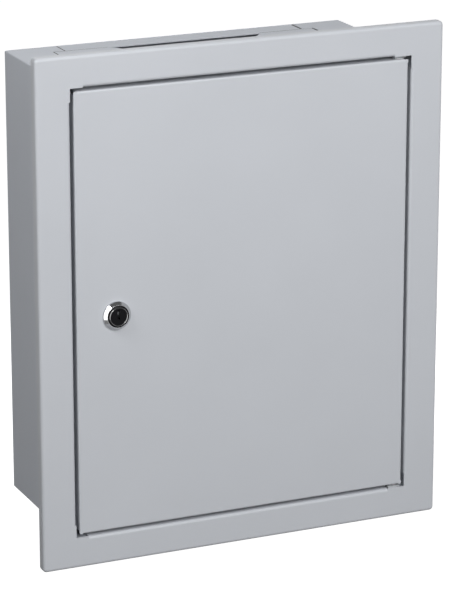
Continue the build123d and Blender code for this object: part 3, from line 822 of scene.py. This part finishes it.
@dataclass
class Door(Assembly):
    """Door skin with its earth stud."""

    nodes: dict[Slot, tuple[str, ...]] = field(default_factory=lambda: {
        Slot.FACE: ("door_panel",),
        Slot.ZINC: ("door_earth_stud", "door_earth_nut"),
    })
    earth: Axle = Axle((140.0 * MM, FRONT + 1.5 * MM, -185.0 * MM), BACKWARD, UP)

    def build(self) -> None:
        """Makes the earth stud with its nut."""
        stud, nut = EarthPoint(self.earth).pieces("door_earth")
        self.seat(stud, Body.DOOR, Slot.ZINC, "door_earth_stud")
        self.seat(nut, Body.DOOR, Slot.ZINC, "door_earth_nut")


@dataclass
class CamLock(Assembly):
    """Cam lock: turned chrome housing, black plug with its ring, wafers and cam."""

    nodes: dict[Slot, tuple[str, ...]] = field(default_factory=lambda: {
        Slot.CHROME: ("lock_housing",),
        Slot.PLUG: ("lock_plug",),
        Slot.ZINC: ("lock_cam", "cam_screw", "lock_nut"),
    })
    centre: Point = (-133.5 * MM, FRONT, -2.0 * MM)
    collar: float = 14.0 * MM
    rim: float = 2.2 * MM
    face: float = 11.3 * MM
    proud: float = 5.0 * MM
    seat_radius: float = 11.05 * MM
    seat_floor: float = -1.6 * MM
    bore: float = 7.05 * MM
    soft: float = 0.07 * MM
    lift: float = 0.02 * MM
    barrel: Thread = Thread(10.0 * MM, 1.5 * MM, 0.55 * MM, 26.0 * MM)
    barrel_start: float = 0.1 * MM
    barrel_end: float = 26.4 * MM
    flat: float = 9.0 * MM
    ring_radius: float = 8.9 * MM
    ring_half: float = 0.46 * MM
    ring_height: float = 0.4 * MM
    ring_root: float = 0.1 * MM
    plug_face: float = -6.1 * MM
    plug_radius: float = 11.0 * MM
    plug_slope: float = 0.7 * MM
    plug_gap: float = 0.05 * MM
    plug_soft: float = 0.15 * MM
    shaft: float = 7.0 * MM
    square: float = 4.0 * MM
    cam_front: float = 26.7 * MM
    cam_back: float = 29.7 * MM
    key_half: float = 1.1 * MM
    key_top: float = 6.5 * MM
    key_low: float = 3.0 * MM
    key_deep: float = 14.0 * MM
    nut_span: Pair = (1.5 * MM, 6.5 * MM)
    wafer_half: float = 1.02 * MM
    wafer_thick: float = 0.6 * MM
    wafer_first: float = 3.6 * MM
    wafer_pitch: float = 1.9 * MM
    wafer_power: float = 0.4
    wafer_points: int = 32
    wafer_edge: float = 40.0
    wafer_steps_mm: tuple[Pair, ...] = ((2.6, 1.5), (-0.6, 2.0), (3.0, 1.8), (0.2, 2.4))

    def housing(self) -> bpy.types.Object:
        """Turns the housing: seat, lip, cone, collar, and a threaded barrel cut to two flats.

        The barrel is the least of the thread's radius and flat / |cos(angle)|. The edges are
        rounded by points at fractions of soft from each corner.

        Returns:
            The housing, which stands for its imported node.
        """
        soft = self.soft
        head = np.array([
            (self.bore, self.barrel_end),
            (self.bore, self.seat_floor),
            (self.seat_radius, self.seat_floor),
            (self.seat_radius, -self.proud + soft),
            (self.seat_radius + 0.15 * soft, -self.proud + 0.3 * soft),
            (self.seat_radius + 0.5 * soft, -self.proud),
            (self.face - 0.5 * soft, -self.proud),
            (self.face, -self.proud + 0.25 * soft),
            (self.face + 0.5 * soft, -self.proud + soft),
            (self.collar - 0.5 * soft, -self.rim - 0.9 * soft),
            (self.collar - 0.1 * soft, -self.rim - 0.3 * soft),
            (self.collar, -self.rim + 0.4 * soft),
            (self.collar, -self.lift),
            (self.barrel.radius, -self.lift),
        ])
        ridge, travel = self.barrel.rows(self.barrel_start, self.barrel_end, ROUND)
        angle = np.arange(ROUND) * 2 * np.pi / ROUND
        flats = self.flat / np.maximum(np.abs(np.cos(angle)), TINY)
        barrel = np.minimum(ridge, flats[None, :])
        radius = np.concatenate([np.repeat(head[:, :1], ROUND, 1), barrel])
        shell = Shell()
        shell.turn(Axle(self.centre), radius, np.concatenate([head[:, 1], travel]))
        return shell.build("lock_housing_turned")

    def plug(self) -> bpy.types.Object:
        """Turns the plug round its keyhole, outline by outline from the keyhole's floor to the square.

        The keyhole is the least of half width / |cos| and reach / |sin|. The square is
        half side / max(|cos|, |sin|). The rim is rounded by points at fractions of soft.

        Returns:
            The plug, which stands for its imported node.
        """
        angle = np.arange(ROUND) * 2 * np.pi / ROUND
        cos = np.maximum(np.abs(np.cos(angle)), TINY)
        sin = np.maximum(np.abs(np.sin(angle)), TINY)
        reach = np.where(np.sin(angle) < 0, self.key_top, self.key_low)
        key = np.minimum(self.key_half / cos, reach / sin)
        square = self.square / np.maximum(cos, sin)
        edge = self.plug_face + self.plug_slope
        back = self.seat_floor - self.plug_gap
        soft = self.plug_soft
        turned = np.array([
            (self.ring_radius - self.ring_half, self.plug_face),
            (self.ring_radius + self.ring_half, self.plug_face),
            (self.plug_radius - 2.0 * soft, edge - 0.85 * soft),
            (self.plug_radius - 0.6 * soft, edge - 0.1 * soft),
            (self.plug_radius, edge + 0.6 * soft),
            (self.plug_radius, back),
            (self.shaft, back),
            (self.shaft, self.cam_front),
        ])
        head = np.repeat(turned[:, :1], ROUND, 1)
        radius = np.concatenate([[key, key], head, [square, square]])
        hole, tail = [self.key_deep, self.plug_face], [self.cam_front, self.cam_back]
        shell = Shell()
        shell.turn(Axle(self.centre), radius, np.concatenate([hole, turned[:, 1], tail]), closed=False)
        return shell.build("lock_plug_turned")

    def plug_ring(self) -> bpy.types.Object:
        """Chamfered ring on the plug's face, with flanks at 45 degrees.

        Returns:
            The ring, on the plug.
        """
        flat = self.ring_half - self.ring_height
        root = self.plug_face + self.ring_root
        profile = np.array([
            (self.ring_radius - self.ring_half, root),
            (self.ring_radius - self.ring_half, self.plug_face),
            (self.ring_radius - flat, self.plug_face - self.ring_height),
            (self.ring_radius + flat, self.plug_face - self.ring_height),
            (self.ring_radius + self.ring_half, self.plug_face),
            (self.ring_radius + self.ring_half, root),
        ])
        shell = Shell()
        shell.turn(Axle(self.centre), np.repeat(profile[:, :1], ROUND, 1), profile[:, 1])
        return shell.build("lock_plug_ring")

    def nut(self) -> bpy.types.Object:
        """Chamfered hexagon nut behind the door skin.

        Returns:
            The nut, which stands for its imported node.
        """
        shell = Shell()
        Fixing(Axle(self.centre, across=UP), self.barrel).nut(shell, *self.nut_span)
        return shell.build("lock_nut_chamfered")

    def wafers(self) -> bpy.types.Object:
        """Spring wafers in the keyhole: superellipse plates, stepped up and down one behind another.

        The outline is sign(cos) * |cos| ** power across, and the same of sin in height.

        Returns:
            The wafers, in the plug's keyhole.
        """
        turn = np.arange(self.wafer_points) * 2 * np.pi / self.wafer_points
        wide = np.sign(np.cos(turn)) * np.abs(np.cos(turn)) ** self.wafer_power
        high = np.sign(np.sin(turn)) * np.abs(np.sin(turn)) ** self.wafer_power
        spread = np.array([0.0, 1.0, 1.0, 0.0])[:, None]
        rows = np.array([0.0, 0.0, self.wafer_thick, self.wafer_thick])[:, None]
        faces = ring_faces(len(rows), self.wafer_points, False)[:, ::-1]
        shell = Shell()
        for index, (rise, half) in enumerate(self.wafer_steps_mm):
            depth = self.plug_face + self.wafer_first + self.wafer_pitch * index
            x = self.wafer_half * wide * spread
            y = np.repeat(depth + rows, self.wafer_points, 1)
            z = (rise + half * high * spread) * MM
            shell.add(np.array(self.centre) + np.stack([x, y, z], -1), faces)
        return shell.build("lock_wafers", self.wafer_edge)

    def build(self) -> None:
        """Makes the turned housing and its nut, the plug and its ring, and the wafers."""
        self.seat(self.housing(), Body.DOOR, Slot.CHROME, "lock_housing")
        self.seat(self.nut(), Body.DOOR, Slot.ZINC, "lock_nut")
        self.seat(self.plug(), Body.LOCK, Slot.PLUG, "lock_plug")
        self.seat(self.plug_ring(), Body.LOCK, Slot.PLUG).data.materials[0] = self.finishes.bead
        self.seat(self.wafers(), Body.LOCK, Slot.ZINC)


@dataclass
class DeviceCarrier(Assembly):
    """Uprights, rails and terminal bars behind the guard."""

    nodes: dict[Slot, tuple[str, ...]] = field(default_factory=lambda: {
        Slot.ZINC: (
            "carrier_studs",
            "carrier_nuts",
            "carrier_upright_left",
            "carrier_upright_right",
            "device_rail_top",
            "device_rail_middle",
            "device_rail_bottom",
            "rail_screws",
            "terminal_strip",
            "strip_screws",
            "terminal_screws",
        ),
        Slot.BRASS: ("neutral_bar", "earth_bar"),
        Slot.INSULATOR: ("bar_feet",),
    })
    side: float = 140.0 * MM
    wall: float = -1.25 * MM
    stud_heights: Pair = (145.0 * MM, -185.0 * MM)
    stud_length: float = 81.55 * MM
    stud_thread: float = 20.0 * MM
    stud_nuts: tuple[Pair, Pair] = ((67.45 * MM, 72.25 * MM), (73.75 * MM, 78.55 * MM))
    guard_heights: Pair = (200.0 * MM, -200.0 * MM)
    guard_nut: Pair = (68.25 * MM, 72.25 * MM)

    def line(self, side: int, height: float) -> Axle:
        """Line from the back wall to the front, at one upright.

        Args:
            side: -1 for the left upright, 1 for the right one.
            height: Height of the line.

        Returns:
            The line.
        """
        return Axle((side * self.side, self.wall, height), FORWARD, UP)

    def build(self) -> None:
        """Makes the welded studs and every nut on the uprights."""
        studs, nuts = Shell(), Shell()
        for side, height in itertools.product((-1, 1), self.stud_heights):
            fixing = Fixing(self.line(side, height), M6)
            fixing.stud(studs, 0.0, self.stud_length, self.stud_thread)
            for span in self.stud_nuts:
                fixing.nut(nuts, *span)
        for side, height in itertools.product((-1, 1), self.guard_heights):
            Fixing(self.line(side, height), M5).nut(nuts, *self.guard_nut)
        threaded = studs.build("carrier_studs_threaded", THREAD_EDGE)
        self.seat(threaded, Body.HOUSING, Slot.ZINC, "carrier_studs")
        chamfered = nuts.build("carrier_nuts_chamfered")
        self.seat(chamfered, Body.HOUSING, Slot.ZINC, "carrier_nuts")


@dataclass
class TouchGuard(Assembly):
    """Touch guard on its standoffs."""

    nodes: dict[Slot, tuple[str, ...]] = field(default_factory=lambda: {
        Slot.GUARD: ("touch_guard",),
        Slot.ZINC: ("guard_standoffs", "guard_screws"),
    })


@dataclass(frozen=True)
class SoftBox:
    """A rectangular lamp: its centre, its width and height, and its power in watts."""

    name: str
    place: Point
    size: Pair
    power: float


@dataclass(frozen=True)
class Card:
    """An even glowing rectangle: one corner, the two edges from it, and its strength."""

    name: str
    corner: Point
    width: Point
    height: Point
    strength: float


@dataclass
class Studio:
    """White floor, soft lights in front, left, above and behind, even cards and a pale surround."""

    floor_z: float = -0.72
    floor_half: float = 30.0
    floor_matt: float = 0.6
    floor_lift: float = 0.88
    floor_bounce: float = 0.14
    aim: Point = (0.0, -0.15, 0.05)
    lamps: tuple[SoftBox, ...] = (
        SoftBox("soft_key", (0.12, -1.85, 0.88), (1.3, 1.0), 33.8),
        SoftBox("soft_fill", (-0.9, -0.5, 1.0), (0.5, 0.5), 9.0),
        SoftBox("soft_top", (0.55, 1.5, 1.4), (1.0, 0.6), 3.0),
        SoftBox("soft_back", (1.0, 1.9, -0.1), (1.0, 0.8), 8.0),
    )
    cards: tuple[Card, ...] = (
        Card("card_above", (-1.3, -0.72, 1.1), (3.7, 0.0, 0.0), (0.0, 1.22, 0.0), 0.18),
        Card("card_below", (-1.2, -0.8, -0.7), (2.2, 0.0, 0.0), (0.0, 2.0, 0.0), 0.34),
        Card("card_left", (-1.25, -1.4, -0.62), (0.0, 1.1, 0.0), (0.0, 0.0, 1.72), 3.0),
    )
    surround: float = 0.2
    gradient: Point = (0.25, 0.25, 0.05)
    least: float = 0.03

    def world(self) -> None:
        """Surround that is white to camera, gloss and glass, and softer to all else.

        Its soft strength is max(least, surround + gradient . direction).
        """
        world = bpy.data.worlds.new("pale_surround")
        bpy.context.scene.world = world
        world.use_nodes = True
        tree = world.node_tree
        tree.nodes.clear()
        where = tree.nodes.new("ShaderNodeTexCoord")
        lean = tree.nodes.new("ShaderNodeVectorMath")
        lean.operation = "DOT_PRODUCT"
        lean.inputs[1].default_value = self.gradient
        tree.links.new(where.outputs["Generated"], lean.inputs[0])
        level = tree.nodes.new("ShaderNodeMath")
        level.inputs[1].default_value = self.surround
        tree.links.new(lean.outputs["Value"], level.inputs[0])
        clamp = tree.nodes.new("ShaderNodeMath")
        clamp.operation = "MAXIMUM"
        clamp.inputs[1].default_value = self.least
        tree.links.new(level.outputs["Value"], clamp.inputs[0])
        soft = tree.nodes.new("ShaderNodeBackground")
        tree.links.new(clamp.outputs["Value"], soft.inputs["Strength"])
        white = tree.nodes.new("ShaderNodeBackground")
        white.inputs["Strength"].default_value = 1.0
        for node in (soft, white):
            node.inputs["Color"].default_value = (1.0, 1.0, 1.0, 1.0)
        mix = tree.nodes.new("ShaderNodeMixShader")
        tree.links.new(self.seen(tree), mix.inputs["Fac"])
        tree.links.new(soft.outputs["Background"], mix.inputs[1])
        tree.links.new(white.outputs["Background"], mix.inputs[2])
        out = tree.nodes.new("ShaderNodeOutputWorld")
        tree.links.new(mix.outputs["Shader"], out.inputs["Surface"])

    @staticmethod
    def seen(tree: bpy.types.NodeTree) -> bpy.types.NodeSocket:
        """1 for camera, glossy and transmission rays, else 0.

        Args:
            tree: Node tree of the world or a material.

        Returns:
            The greatest of the three ray tests.
        """
        path = tree.nodes.new("ShaderNodeLightPath")
        first = tree.nodes.new("ShaderNodeMath")
        second = tree.nodes.new("ShaderNodeMath")
        first.operation = second.operation = "MAXIMUM"
        tree.links.new(path.outputs["Is Camera Ray"], first.inputs[0])
        tree.links.new(path.outputs["Is Glossy Ray"], first.inputs[1])
        tree.links.new(first.outputs["Value"], second.inputs[0])
        tree.links.new(path.outputs["Is Transmission Ray"], second.inputs[1])
        return second.outputs["Value"]

    def floor(self) -> None:
        """Floor well below the board: white with a shadow to the camera, a dull bounce to the board."""
        material = bpy.data.materials.new("white_floor")
        material.use_nodes = True
        tree = material.node_tree
        tree.nodes.clear()
        matt = tree.nodes.new("ShaderNodeBsdfDiffuse")
        matt.inputs["Color"].default_value = (*[self.floor_matt] * 3, 1.0)
        lift = tree.nodes.new("ShaderNodeEmission")
        lift.inputs["Color"].default_value = (*[self.floor_lift] * 3, 1.0)
        both = tree.nodes.new("ShaderNodeAddShader")
        tree.links.new(matt.outputs["BSDF"], both.inputs[0])
        tree.links.new(lift.outputs["Emission"], both.inputs[1])
        dull = tree.nodes.new("ShaderNodeBsdfDiffuse")
        dull.inputs["Color"].default_value = (*[self.floor_bounce] * 3, 1.0)
        mix = tree.nodes.new("ShaderNodeMixShader")
        tree.links.new(self.seen(tree), mix.inputs["Fac"])
        tree.links.new(dull.outputs["BSDF"], mix.inputs[1])
        tree.links.new(both.outputs["Shader"], mix.inputs[2])
        out = tree.nodes.new("ShaderNodeOutputMaterial")
        tree.links.new(mix.outputs["Shader"], out.inputs["Surface"])
        half, full = self.floor_half, 2 * self.floor_half
        self.sheet("floor", (-half, -half, self.floor_z), (full, 0.0, 0.0), (0.0, full, 0.0), material)

    @staticmethod
    def sheet(
        name: str, corner: Point, width: Point, height: Point, material: bpy.types.Material,
    ) -> bpy.types.Object:
        """A rectangle that belongs to the stage.

        Args:
            name: Its name.
            corner: One corner.
            width: Edge from that corner.
            height: Other edge from that corner.
            material: What it is made of.

        Returns:
            The stage piece.
        """
        steps = np.array([(0, 0), (1, 0), (1, 1), (0, 1)]) @ np.array([width, height])
        mesh = bpy.data.meshes.new(name)
        mesh.from_pydata((np.array(corner) + steps).tolist(), [], [(0, 1, 2, 3)])
        mesh.materials.append(material)
        piece = bpy.data.objects.new(name, mesh)
        bpy.context.scene.collection.objects.link(piece)
        return piece

    def hang(self, card: Card) -> None:
        """Hangs a card for metal to show, out of the camera's sight.

        A card brighter than white is seen by gloss alone.

        Args:
            card: The card's place and strength.
        """
        material = bpy.data.materials.new(card.name)
        material.use_nodes = True
        tree = material.node_tree
        tree.nodes.clear()
        glow = tree.nodes.new("ShaderNodeEmission")
        glow.inputs["Strength"].default_value = card.strength
        out = tree.nodes.new("ShaderNodeOutputMaterial")
        tree.links.new(glow.outputs["Emission"], out.inputs["Surface"])
        piece = self.sheet(card.name, card.corner, card.width, card.height, material)
        piece.visible_camera = False
        piece.visible_diffuse = piece.visible_shadow = card.strength < 1.0

    def light(self, box: SoftBox) -> None:
        """Adds a soft box that faces the board.

        Args:
            box: The lamp's place, size and power.
        """
        data = bpy.data.lights.new(box.name, "AREA")
        data.shape = "RECTANGLE"
        data.size, data.size_y = box.size
        data.energy = box.power
        lamp = bpy.data.objects.new(box.name, data)
        lamp.location = box.place
        lamp.visible_camera = False
        facing = Vector(self.aim) - Vector(box.place)
        lamp.rotation_euler = facing.to_track_quat("-Z", "Y").to_euler()
        bpy.context.scene.collection.objects.link(lamp)

    def build(self) -> None:
        """Sets up the plain view transform, the surround, the floor, the cards and the lamps."""
        bpy.context.scene.view_settings.view_transform = "Standard"
        self.world()
        self.floor()
        for card in self.cards:
            self.hang(card)
        for box in self.lamps:
            self.light(box)


@dataclass
class Viewpoint:
    """Camera left of the board and above it, with a long lens."""

    place: Point = (-1.1665, -2.749, 0.8619)
    azimuth: float = 23.957
    pitch: float = 17.0
    lens: float = 183.4
    sensor: float = 36.0
    clip: Pair = (0.05, 100.0)

    def build(self) -> None:
        """Creates the camera and makes it the scene's own."""
        data = bpy.data.cameras.new("viewpoint")
        data.lens = self.lens
        data.sensor_width = self.sensor
        data.sensor_fit = "AUTO"
        data.clip_start, data.clip_end = self.clip
        camera = bpy.data.objects.new("viewpoint", data)
        camera.location = self.place
        camera.rotation_euler = np.radians((90.0 - self.pitch, 0.0, -self.azimuth))
        bpy.context.scene.collection.objects.link(camera)
        bpy.context.scene.camera = camera


def main() -> None:
    """Builds the viewpoint, the studio and every assembly of the board."""
    logging.basicConfig(level=logging.INFO, format="%(name)s: %(message)s")
    Viewpoint().build()
    Studio().build()
    finishes = Finishes()
    for kind in (WallTub, FrontFrame, Door, CamLock, DeviceCarrier, TouchGuard):
        assembly = kind(finishes)
        assembly.dress()
        assembly.build()


if __name__ == "__main__":
    main()
